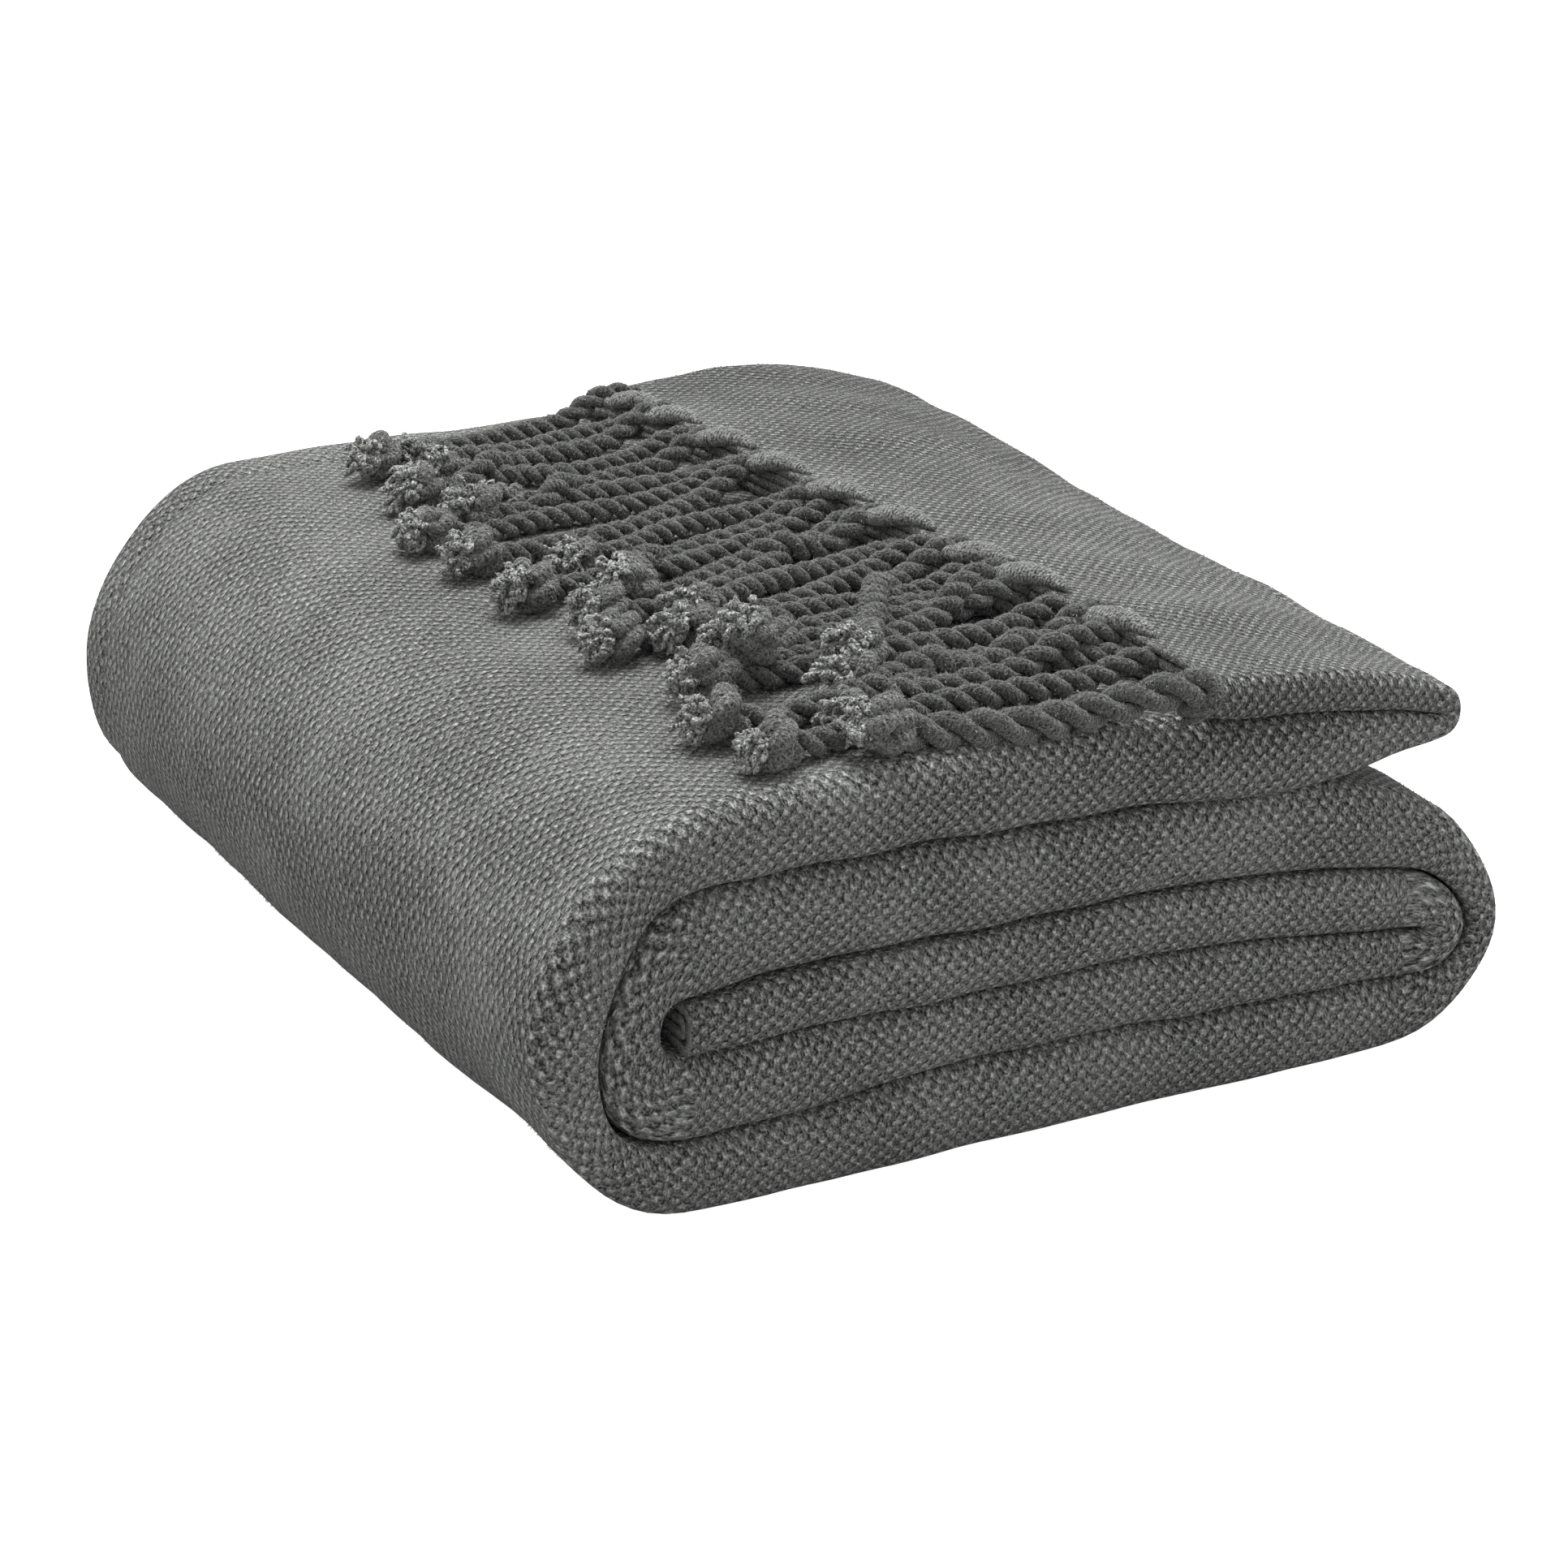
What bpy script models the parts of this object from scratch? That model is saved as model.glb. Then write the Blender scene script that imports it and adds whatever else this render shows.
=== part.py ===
"""A chenille bedspread, folded in four across its width and rolled flat into a stack, with its
knotted fringe lying on top. Metres, +Z up, +X along the folded front, -Y is the front."""
import math

import bmesh
import bpy
import numpy as np
from mathutils.bvhtree import BVHTree

# ---- the cloth, as folded ---------------------------------------------------------------------
FRONT_Y = -0.0060              # the foremost line of the rounded front folds
FOLDED_DEPTH = 0.3100          # from there to the back is a quarter of the spread's width
OUTER_SELVEDGE_Y = 0.2920      # the outer selvedge and the doubled fold at the back stop short
BACK_FOLD_Y = 0.3030           # of the back, and the inner selvedge reaches it
INNER_SELVEDGE_Y = 0.3100
PLY = 0.19                     # share of a four-ply layer taken by each ply
PLY_GAP = 0.08                 # share taken by each of the three gaps between plies
LAYER_GAP = 0.0007             # clear space between one layer of the stack and the next
FRONT_ROUND = 0.36             # depth of the rounded front folds, as a share of layer thickness

# ---- the stack, seen from the front -------------------------------------------------------------
# Height of each seam line at five places from left to right. bend_x is where the right-hand bend
# starts, and at_bend is the height there.
COLUMN_X = (0.0, 0.0744, 0.1488, 0.1984)
SEAMS = {
    #             at_left at_third two_thirds four_fifths  bend_x   at_bend
    "floor":      (0.0000, 0.0000, 0.0000, 0.0000,         0.2220, 0.0000),
    "base_top":   (0.0200, 0.0246, 0.0240, 0.0220,         0.2220, 0.0210),
    "lower_top":  (0.0446, 0.0443, 0.0436, 0.0380,         0.2220, 0.0332),
    "core_top":   (0.0595, 0.0612, 0.0602, 0.0566,         0.2220, 0.0510),
    "upper_top":  (0.0890, 0.0868, 0.0848, 0.0824,         0.2220, 0.0735),
    "cover_foot": (0.0890, 0.0868, 0.0848, 0.0827,         0.2262, 0.0885),
    "cover_top":  (0.1110, 0.1120, 0.1092, 0.1022,         0.2262, 0.0962),
    "flap_top":   (0.1250, 0.1250, 0.1212, 0.1142,         0.2262, 0.1046),
}
# Layers in the order the cloth runs, from the fringed end on top to the end hidden in the core.
LAYERS = (
    # name     upper face   lower face    start_x  end_x   stations
    ("flap",  "flap_top",  "cover_top",  0.1500, 0.2262, 5),
    ("cover", "cover_top", "cover_foot", 0.2262, 0.0000, 7),
    ("base",  "base_top",  "floor",      0.0000, 0.2220, 5),
    ("upper", "upper_top", "core_top",   0.2220, 0.0000, 6),
    ("lower", "lower_top", "base_top",   0.0000, 0.2220, 5),
    ("core",  "core_top",  "lower_top",  0.2220, 0.0025, 6),
)
# Bends between those layers. Reach of the inner and the outer face from the bend's centre,
# in three directions: halfway up, straight out, halfway down.
BENDS = (
    # name           side   centre_x centre_z inner: up, out, down      outer: up, out, down     stations
    ("flap_fold",    +1,  0.2262, 0.0962, (0.0004, 0.0005, 0.0004), (0.0082, 0.0070, 0.0076), 6),
    ("outer_wrap",   -1,  0.0000, 0.0500, (0.0238, 0.0219, 0.0278), (0.0474, 0.0410, 0.0416), 8),
    ("right_wrap",   +1,  0.2220, 0.0332, (0.0165, 0.0190, 0.0158), (0.0286, 0.0278, 0.0262), 7),
    ("inner_wrap",   -1,  0.0000, 0.0500, (0.0072, 0.0056, 0.0042), (0.0231, 0.0212, 0.0271), 8),
    ("core_nose",    +1,  0.2220, 0.0332, (0.0012, 0.0050, 0.0012), (0.0158, 0.0183, 0.0151), 6),
)
TURNED_OVER = ("cover", "upper", "core")      # layers in which the cloth runs to the left

# ---- the fringed hem, seen from above ------------------------------------------------------------
HEM_FRONT_X = 0.1600           # the hem runs aslant across the top of the stack
HEM_BACK_X = 0.1275
TASSELS = (
    # root_y, half_width_at_root, tip_x, tip_y, half_width_at_tip
    (0.008, 0.0044, 0.0600, 0.007, 0.0060),
    (0.032, 0.0044, 0.0230, 0.026, 0.0062),
    (0.058, 0.0044, 0.0340, 0.050, 0.0062),
    (0.084, 0.0044, 0.0440, 0.075, 0.0062),
    (0.110, 0.0044, 0.0260, 0.100, 0.0062),
    (0.138, 0.0044, 0.0350, 0.125, 0.0062),
    (0.164, 0.0044, 0.0260, 0.150, 0.0062),
    (0.190, 0.0044, 0.0240, 0.177, 0.0062),
    (0.216, 0.0044, 0.0200, 0.202, 0.0062),
    (0.242, 0.0044, 0.0330, 0.232, 0.0062),
    (0.268, 0.0044, 0.0300, 0.258, 0.0062),
    (0.290, 0.0044, 0.0540, 0.283, 0.0060),
)
TASSEL_STEPS = 5               # segments along each tassel
TASSEL_HEIGHT = 0.0150         # the tassels of the four plies lie in a heap two or three deep
HEADING_WIDTH = 0.0060         # the strip of the comb along the hem
CLEAR = 0.0006                 # space between the fringe and the cloth under it
HEM_CLEAR = 0.0008             # space between the fringe and the hem beside it
COVER_LOOK_FROM = 0.2


def curve(stations, values, at):
    """A smooth curve through the values, read at one place."""
    slopes = np.gradient(np.array(values, float), np.array(stations, float))
    k = int(np.clip(np.searchsorted(stations, at) - 1, 0, len(stations) - 2))
    span = stations[k + 1] - stations[k]
    t = min(max((at - stations[k]) / span, 0.0), 1.0)
    rise = t * t * (3.0 - 2.0 * t)
    lead = t * (1.0 - t) ** 2 * slopes[k] - t * t * (1.0 - t) * slopes[k + 1]
    return values[k] * (1.0 - rise) + values[k + 1] * rise + lead * span


def hem_x(y):
    return HEM_FRONT_X + (HEM_BACK_X - HEM_FRONT_X) * y / FOLDED_DEPTH


def seam_height(name, x):
    row = SEAMS[name]
    return curve(COLUMN_X + (row[4],), row[:4] + (row[5],), x)


def layer_faces(layer, share, y):
    """Upper and lower face of a layer, a share of the way along it, at depth y."""
    name, upper, lower, start_x, end_x, _ = layer
    if name == "flap":
        start_x = hem_x(y)
    x = start_x + (end_x - start_x) * share
    top = seam_height(upper, x) - (0.0 if upper in ("flap_top",) else LAYER_GAP / 2)
    bottom = seam_height(lower, x) + (0.0 if lower == "floor" else LAYER_GAP / 2)
    return (x, top), (x, bottom)


def bend_faces(bend, before, after, share):
    """Inner and outer face of a bend, a share of the way round it."""
    _, side, centre_x, centre_z, inner, outer, _ = bend
    falls = before[0][1] > after[0][1]
    angle = math.pi * (0.5 - share) if falls else math.pi * (share - 0.5)
    faces = []
    for reach, first, last in ((inner, before[0], after[0]), (outer, before[1], after[1])):
        high, low = (first, last) if falls else (last, first)
        reaches = [centre_z - low[1], reach[2], reach[1], reach[0], high[1] - centre_z]
        r = curve([-90.0, -45.0, 0.0, 45.0, 90.0], reaches, math.degrees(angle))
        faces.append((centre_x + side * r * math.cos(angle), centre_z + r * math.sin(angle)))
    return faces


def outside_first(layer, share, y):
    """The two faces of a layer: the face outside the flap first, then the other one."""
    top, bottom = layer_faces(layer, share, y)
    return (bottom, top) if layer[0] in TURNED_OVER else (top, bottom)


def stack_line(y):
    """Both faces of the four-ply layer, station by station along the cloth."""
    line = []
    for k, layer in enumerate(LAYERS):
        count = layer[5]
        line += [outside_first(layer, i / (count - 1), y) for i in range(count)]
        if k == len(BENDS):
            break
        bend = BENDS[k]
        end, start = outside_first(layer, 1.0, y), outside_first(LAYERS[k + 1], 0.0, y)
        flip = bend[0] == "flap_fold"
        before = (end[1], end[0]) if flip else end
        after = (start[1], start[0]) if flip else start
        for i in range(1, bend[6]):
            inner, outer = bend_faces(bend, before, after, i / bend[6])
            line.append((outer, inner) if flip else (inner, outer))
    return line


def settle(x, y, z):
    """The slight unevenness of a soft stack. Nothing moves at floor level."""
    lift = min(z / 0.09, 1.0)
    dip = 0.0012 * math.sin(y * 21.0 + 0.6) + 0.0010 * math.sin(x * 26.0 - y * 17.0)
    back = max((y - 0.20) / 0.11, 0.0)
    z = z + lift * (dip - 0.0045 * back * back)
    left = max(1.0 - (x + 0.045) / 0.10, 0.0)
    x = x + left * lift * (0.0015 * math.sin(y * 30.0) + 0.0075 * back * back)
    right = max(1.0 - (0.255 - x) / 0.08, 0.0)
    x = x + right * lift * (0.0018 * math.sin(y * 24.0 + 1.0) - 0.0040 * back * back)
    at_hem = min(max((0.175 - x) / 0.05, 0.0), 1.0) * min(max((z - 0.108) / 0.012, 0.0), 1.0)
    return x, y, z - 0.0040 * back * back * at_hem


def front_arc(inset, turn):
    """A point on one of the nested front folds: share across the layer, depth in layer units."""
    reach = 1.0 - 2.0 * inset
    across = 0.5 + 0.5 * reach * math.cos(turn)
    depth = inset + FRONT_ROUND * reach * (1.0 - math.sin(turn) ** 0.9)
    return across, depth


def ply_section():
    """The four plies as one ribbon: pairs of (share across, depth share, y) for its two sides."""
    a1, a2, a3 = PLY, PLY + PLY_GAP, 2 * PLY + PLY_GAP
    runs = (0.78, 0.5, 0.2)
    pairs = [((1.0, 0.0, OUTER_SELVEDGE_Y), (1.0 - a1, 0.0, OUTER_SELVEDGE_Y))]
    pairs += [((1.0, 0.0, FOLDED_DEPTH * r), (1.0 - a1, 0.0, FOLDED_DEPTH * r)) for r in runs]
    for i in range(8):
        turn = math.pi * i / 7
        out, ins = front_arc(0.0, turn), front_arc(a1, turn)
        pairs.append(((out[0], out[1], FRONT_Y), (ins[0], ins[1], FRONT_Y)))
    pairs += [((0.0, 0.0, BACK_FOLD_Y * r), (a1, 0.0, BACK_FOLD_Y * r)) for r in reversed(runs)]
    for i in range(5):
        turn = math.pi * i / 4
        across = a3 / 2 - a3 / 2 * math.cos(turn)
        slit = a3 / 2 - PLY_GAP / 2 * math.cos(turn)
        pairs.append(((across, -0.16 * (1.0 - math.sin(turn)), BACK_FOLD_Y),
                      (slit, -0.20 - 0.02 * (1.0 - math.sin(turn)), BACK_FOLD_Y)))
    pairs += [((a3, 0.0, BACK_FOLD_Y * r), (a2, 0.0, BACK_FOLD_Y * r)) for r in runs]
    for i in range(6):
        turn = math.pi * i / 5
        ins, out = front_arc(a3, math.pi - turn), front_arc(a2, math.pi - turn)
        pairs.append(((ins[0], ins[1], FRONT_Y), (out[0], out[1], FRONT_Y)))
    pairs += [((1.0 - a3, 0.0, FOLDED_DEPTH * r), (1.0 - a2, 0.0, FOLDED_DEPTH * r))
              for r in reversed(runs)]
    pairs.append(((1.0 - a3, 0.0, INNER_SELVEDGE_Y), (1.0 - a2, 0.0, INNER_SELVEDGE_Y)))
    return pairs


def cloth_point(faces, across, depth, y):
    (x0, z0), (x1, z1) = faces
    thickness = math.hypot(x1 - x0, z1 - z0)
    x, z = x0 + (x1 - x0) * across, z0 + (z1 - z0) * across
    return settle(x, y + depth * thickness, z)


def add_grid_solid(name, grid):
    """One closed solid from a grid of point pairs, [station][place][side]."""
    rows, places = len(grid), len(grid[0])
    mesh = bmesh.new()
    verts = [[[mesh.verts.new(p) for p in pair] for pair in row] for row in grid]
    for i in range(rows - 1):
        for j in range(places - 1):
            for side in (0, 1):
                mesh.faces.new((verts[i][j][side], verts[i + 1][j][side],
                                verts[i + 1][j + 1][side], verts[i][j + 1][side]))
        for j in (0, places - 1):
            mesh.faces.new((verts[i][j][0], verts[i + 1][j][0],
                            verts[i + 1][j][1], verts[i][j][1]))
    for i in (0, rows - 1):
        for j in range(places - 1):
            mesh.faces.new((verts[i][j][0], verts[i][j + 1][0],
                            verts[i][j + 1][1], verts[i][j][1]))
    return finish_solid(name, mesh)


def finish_solid(name, mesh):
    bmesh.ops.recalc_face_normals(mesh, faces=mesh.faces[:])
    bmesh.ops.triangulate(mesh, faces=mesh.faces[:])
    data = bpy.data.meshes.new(name)
    mesh.to_mesh(data)
    mesh.free()
    return bpy.data.objects.new(name, data)


def make_cloth():
    section = ply_section()
    ys = [[side[2] + 0.0 for side in pair] for pair in section]
    lines = {y: stack_line(y) for pair in ys for y in pair}
    rows = len(next(iter(lines.values())))
    grid = []
    for i in range(rows):
        grid.append([[cloth_point(lines[side[2]][i], side[0], side[1], side[2])
                      for side in pair] for pair in section])
    return add_grid_solid("spread_cloth", grid)


def resting_height(tree, x, y):
    """Height of the cloth under a tassel, the highest of nine places around the point."""
    places = [(x + dx, y + dy) for dx in (-0.005, 0.0, 0.005) for dy in (-0.005, 0.0, 0.005)]
    hits = [tree.ray_cast((px, py, COVER_LOOK_FROM), (0.0, 0.0, -1.0))[0] for px, py in places]
    return max(hit[2] for hit in hits if hit is not None)


def make_fringe(cloth):
    """A comb: a heading strip beside the hem, with a plain rod for each tassel."""
    under = bmesh.new()
    under.from_mesh(cloth.data)
    tree = BVHTree.FromBMesh(under)
    under.free()
    mesh = bmesh.new()
    columns = []
    for root_y, half, tip_x, tip_y, tip_half in TASSELS:
        columns += [(root_y - half, tip_x, tip_y - tip_half), (root_y + half, tip_x, tip_y + tip_half)]
    layers = []
    for lift in (CLEAR, CLEAR + TASSEL_HEIGHT):
        layer = []
        for root_y, tip_x, tip_y in columns:
            x0 = hem_x(root_y) - HEM_CLEAR
            line = [(x0, root_y), (x0 - HEADING_WIDTH, root_y)]
            for s in range(1, TASSEL_STEPS + 1):
                t = s / TASSEL_STEPS
                line.append((x0 - HEADING_WIDTH + (tip_x - x0 + HEADING_WIDTH) * t,
                             root_y + (tip_y - root_y) * t * t * (3 - 2 * t)))
            heights = [resting_height(tree, min(x, x0 - 0.0055), y) for x, y in line]
            layer.append([mesh.verts.new((x, y, h + lift)) for (x, y), h in zip(line, heights)])
        layers.append(layer)
    bottom, top = layers
    last = len(columns) - 1

    def wall(c0, s0, c1, s1):
        mesh.faces.new((bottom[c0][s0], bottom[c1][s1], top[c1][s1], top[c0][s0]))

    for c in range(last):
        steps = range(TASSEL_STEPS + 1) if c % 2 == 0 else range(1)
        for level in layers:
            for s in steps:
                mesh.faces.new((level[c][s], level[c][s + 1], level[c + 1][s + 1], level[c + 1][s]))
        wall(c, 0, c + 1, 0)
        end = TASSEL_STEPS + 1 if c % 2 == 0 else 1
        wall(c, end, c + 1, end)
    for c in range(last + 1):
        first = 0 if c in (0, last) else 1
        for s in range(first, TASSEL_STEPS + 1):
            wall(c, s, c, s + 1)
    return finish_solid("fringe", mesh)


def make_material(name, colour, roughness):
    material = bpy.data.materials.new(name)
    material.use_nodes = True
    shader = material.node_tree.nodes["Principled BSDF"]
    shader.inputs["Base Color"].default_value = (*colour, 1.0)
    shader.inputs["Roughness"].default_value = roughness
    return material


for old in list(bpy.data.objects):
    bpy.data.objects.remove(old)

cloth = make_cloth()
pieces = {"spread_cloth": cloth, "fringe": make_fringe(cloth)}
corners = np.array([v.co for piece in pieces.values() for v in piece.data.vertices])
low, high = corners.min(axis=0), corners.max(axis=0)
shift = np.array([-(low[0] + high[0]) / 2, -(low[1] + high[1]) / 2, -low[2]])
for name, piece in pieces.items():
    for vertex in piece.data.vertices:
        vertex.co = [float(vertex.co[k] + shift[k]) for k in range(3)]
    shade = 0.16 if name == "spread_cloth" else 0.20
    piece.data.materials.append(make_material(name + "_grey", (shade, shade, shade * 0.97), 0.95))
    collection = bpy.data.collections.new(name)
    bpy.context.scene.collection.children.link(collection)
    collection.objects.link(piece)
    print(name, "triangles", len(piece.data.polygons))
print("overall size", np.round(high - low, 4), "shift", np.round(shift, 5))
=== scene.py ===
# %% [markdown]
# # A folded chenille bedspread
# A bedspread woven from chenille yarn has been folded in four across its width, then rolled up
# and pressed flat. Its knotted fringe lies on top. This lesson folds a flat grid into that
# stack, twists and knots the fringe, and gives both a deep nubbly pile.

import math

import bmesh
import bpy
import numpy as np
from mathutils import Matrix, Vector, noise
from mathutils.bvhtree import BVHTree


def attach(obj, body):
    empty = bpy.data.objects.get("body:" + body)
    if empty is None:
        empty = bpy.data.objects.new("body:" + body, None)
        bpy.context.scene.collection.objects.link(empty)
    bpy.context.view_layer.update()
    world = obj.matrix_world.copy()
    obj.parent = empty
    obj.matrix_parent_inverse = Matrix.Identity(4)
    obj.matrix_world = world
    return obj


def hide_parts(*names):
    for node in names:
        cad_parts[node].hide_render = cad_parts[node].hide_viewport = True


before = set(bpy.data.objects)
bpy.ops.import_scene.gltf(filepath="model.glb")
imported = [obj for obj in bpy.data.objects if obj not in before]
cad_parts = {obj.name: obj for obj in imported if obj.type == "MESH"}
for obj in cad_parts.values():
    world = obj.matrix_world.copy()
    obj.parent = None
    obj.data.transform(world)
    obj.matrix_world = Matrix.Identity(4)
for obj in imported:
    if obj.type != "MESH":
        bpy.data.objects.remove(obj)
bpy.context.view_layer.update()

# %% [markdown]
# ## Camera
# A long lens from about a metre and a half keeps the edges of the stack almost parallel. The
# camera stands to the left of the folded front and looks down on it.

# %% Camera
CAMERA_PLACE = (-0.6792, -1.2789, 0.6408)
CAMERA_TURN = -28.3
CAMERA_RISE = 22.4
CAMERA_LENS = 127.1

camera_data = bpy.data.cameras.new("camera")
camera_data.lens = CAMERA_LENS
camera_data.sensor_width = 36.0
camera_data.clip_end = 50.0
camera = bpy.data.objects.new("camera", camera_data)
bpy.context.scene.collection.objects.link(camera)
camera.location = CAMERA_PLACE
camera.rotation_euler = (math.radians(90.0 - CAMERA_RISE), 0.0, math.radians(CAMERA_TURN))
bpy.context.scene.camera = camera
print("camera lens", CAMERA_LENS, "mm")

# %% [markdown]
# ## Light
# Soft light from all round, as in a white studio, with one broad lamp high above. It
# brightens the top, so the rounded left side and the folded front fall darker. A weak fill
# in front keeps the edges of the lower layers readable.

# %% Lights
def area_light(name, place, aim, width, height, power):
    data = bpy.data.lights.new(name, "AREA")
    data.shape = "RECTANGLE"
    data.size = width
    data.size_y = height
    data.energy = power
    lamp = bpy.data.objects.new(name, data)
    bpy.context.scene.collection.objects.link(lamp)
    lamp.location = place
    lamp.rotation_euler = (Vector(aim) - Vector(place)).to_track_quat("-Z", "Y").to_euler()
    return lamp


OVERHEAD_WATTS = 46.0
FILL_WATTS = 2.4
SKY_STRENGTH = 1.12
area_light("overhead_softbox", (0.10, 0.30, 1.75), (0.0, 0.0, 0.08), 1.0, 0.8, OVERHEAD_WATTS)
area_light("front_fill", (0.50, -1.50, 0.45), (0.0, 0.0, 0.06), 1.2, 1.0, FILL_WATTS)
bpy.context.scene.view_settings.view_transform = "Standard"

world = bpy.data.worlds.new("studio")
world.use_nodes = True
world.node_tree.nodes["Background"].inputs["Color"].default_value = (1.0, 1.0, 1.0, 1.0)
world.node_tree.nodes["Background"].inputs["Strength"].default_value = SKY_STRENGTH
bpy.context.scene.world = world

# %% [markdown]
# ## The fold plan
# From the front the spread is a strip, four plies thick, that zigzags and wraps. Two tables
# describe it: the height of each seam between layers, and how far each bend reaches from its
# centre. A smooth curve through the few named heights gives every point between them.

# %% Fold plan
SHIFT_X, SHIFT_Y = -0.10394, -0.15203
FRONT_Y = -0.0060
FOLDED_DEPTH = 0.3100
OUTER_SELVEDGE_Y = 0.2920
BACK_FOLD_Y = 0.2990
INNER_SELVEDGE_Y = 0.3130
PLY, PLY_GAP = 0.205, 0.06
LAYER_GAP = 0.0006
COLUMN_X = (0.0, 0.0744, 0.1488, 0.1984)
SEAMS = {
    #             at_left at_third two_thirds four_fifths  bend_x   at_bend
    "floor":      (0.0000, 0.0000, 0.0000, 0.0000,         0.2220, 0.0000),
    "base_top":   (0.0200, 0.0246, 0.0240, 0.0220,         0.2220, 0.0210),
    "lower_top":  (0.0446, 0.0443, 0.0436, 0.0380,         0.2220, 0.0332),
    "core_top":   (0.0595, 0.0612, 0.0602, 0.0566,         0.2220, 0.0510),
    "upper_top":  (0.0890, 0.0868, 0.0848, 0.0824,         0.2220, 0.0735),
    "cover_foot": (0.0890, 0.0868, 0.0848, 0.0827,         0.2262, 0.0885),
    "cover_top":  (0.1110, 0.1120, 0.1092, 0.1022,         0.2262, 0.0962),
    "flap_top":   (0.1250, 0.1250, 0.1212, 0.1142,         0.2262, 0.1046),
}
LAYERS = (
    # name     upper face   lower face    start_x  end_x   stations
    ("flap",  "flap_top",  "cover_top",  0.1500, 0.2262, 26),
    ("cover", "cover_top", "cover_foot", 0.2262, 0.0000, 52),
    ("base",  "base_top",  "floor",      0.0000, 0.2220, 36),
    ("upper", "upper_top", "core_top",   0.2220, 0.0000, 40),
    ("lower", "lower_top", "base_top",   0.0000, 0.2220, 36),
    ("core",  "core_top",  "lower_top",  0.2220, 0.0020, 36),
)
BENDS = (
    # name          side centre_x centre_z inner: up, out, down     outer: up, out, down  stations
    ("flap_fold",    +1, 0.2262, 0.0962, (0.0004, 0.0005, 0.0004), (0.0082, 0.0070, 0.0076), 16),
    ("outer_wrap",   -1, 0.0000, 0.0500, (0.0238, 0.0219, 0.0278), (0.0474, 0.0410, 0.0416), 32),
    ("right_wrap",   +1, 0.2220, 0.0332, (0.0165, 0.0190, 0.0158), (0.0286, 0.0278, 0.0262), 22),
    ("inner_wrap",   -1, 0.0000, 0.0500, (0.0070, 0.0046, 0.0042), (0.0231, 0.0212, 0.0271), 24),
    ("core_nose",    +1, 0.2220, 0.0332, (0.0012, 0.0050, 0.0012), (0.0158, 0.0183, 0.0151), 18),
)
TURNED_OVER = ("cover", "upper", "core")
HEM = {
    "y": (-0.006, 0.0200, 0.0600, 0.1000, 0.1500, 0.2000, 0.2500, 0.3100),
    "x": (0.1552, 0.1536, 0.1502, 0.1445, 0.1385, 0.1330, 0.1300, 0.1280),
}


def curve(stations, values, at):
    """A smooth curve through the values, read at one place."""
    slopes = np.gradient(np.array(values, float), np.array(stations, float))
    k = int(np.clip(np.searchsorted(stations, at) - 1, 0, len(stations) - 2))
    span = stations[k + 1] - stations[k]
    t = min(max((at - stations[k]) / span, 0.0), 1.0)
    rise = t * t * (3.0 - 2.0 * t)
    lead = t * (1.0 - t) ** 2 * slopes[k] - t * t * (1.0 - t) * slopes[k + 1]
    return values[k] * (1.0 - rise) + values[k + 1] * rise + lead * span


def seam_height(name, x):
    row = SEAMS[name]
    return curve(COLUMN_X + (row[4],), row[:4] + (row[5],), x)


def hem_x(y):
    return curve(HEM["y"], HEM["x"], y)


def layer_faces(layer, share, y):
    """The face on the flap's upper side first, then the other face."""
    name, upper, lower, start_x, end_x, _ = layer
    if name == "flap":
        start_x = hem_x(y)
    x = start_x + (end_x - start_x) * share
    top = seam_height(upper, x) - (0.0 if upper == "flap_top" else LAYER_GAP / 2)
    bottom = seam_height(lower, x) + (0.0 if lower == "floor" else LAYER_GAP / 2)
    return ((x, bottom), (x, top)) if name in TURNED_OVER else ((x, top), (x, bottom))


def bend_faces(bend, before, after, share):
    """Inner and outer face of a bend, a share of the way round it."""
    _, side, centre_x, centre_z, inner, outer, _ = bend
    falls = before[0][1] > after[0][1]
    angle = math.pi * (0.5 - share) if falls else math.pi * (share - 0.5)
    faces = []
    for reach, first, last in ((inner, before[0], after[0]), (outer, before[1], after[1])):
        high, low = (first, last) if falls else (last, first)
        reaches = [centre_z - low[1], reach[2], reach[1], reach[0], high[1] - centre_z]
        r = curve([-90.0, -45.0, 0.0, 45.0, 90.0], reaches, math.degrees(angle))
        faces.append((centre_x + side * r * math.cos(angle), centre_z + r * math.sin(angle)))
    return faces


def stack_line(y):
    """Both faces of the four-ply strip at depth y, from the fringed hem to the hidden end."""
    line = []
    for k, layer in enumerate(LAYERS):
        line += [layer_faces(layer, i / (layer[5] - 1), y) for i in range(layer[5])]
        if k == len(BENDS):
            break
        bend, end, start = BENDS[k], layer_faces(layer, 1.0, y), layer_faces(LAYERS[k + 1], 0.0, y)
        flip = bend[0] == "flap_fold"
        before, after = (end[::-1], start[::-1]) if flip else (end, start)
        for i in range(1, bend[6]):
            inner, outer = bend_faces(bend, before, after, i / bend[6])
            line.append((outer, inner) if flip else (inner, outer))
    return np.array(line)


def soften(line, rounds):
    """Rounds off the corners where layers meet bends."""
    for _ in range(rounds):
        middle = (line[:-2] + 2.0 * line[1:-1] + line[2:]) / 4.0
        line = np.concatenate([line[:1], middle, line[-1:]])
    return line


outer_line = stack_line(FOLDED_DEPTH / 2)
outer_line = outer_line[:, 0] * 0.72 + outer_line[:, 1] * 0.28
steps = np.linalg.norm(np.diff(outer_line, axis=0), axis=1)
ALONG = np.concatenate([[0.0], np.cumsum(steps)])
print("length of the cloth along the fold line", round(float(ALONG[-1]), 4), "m")

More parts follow.
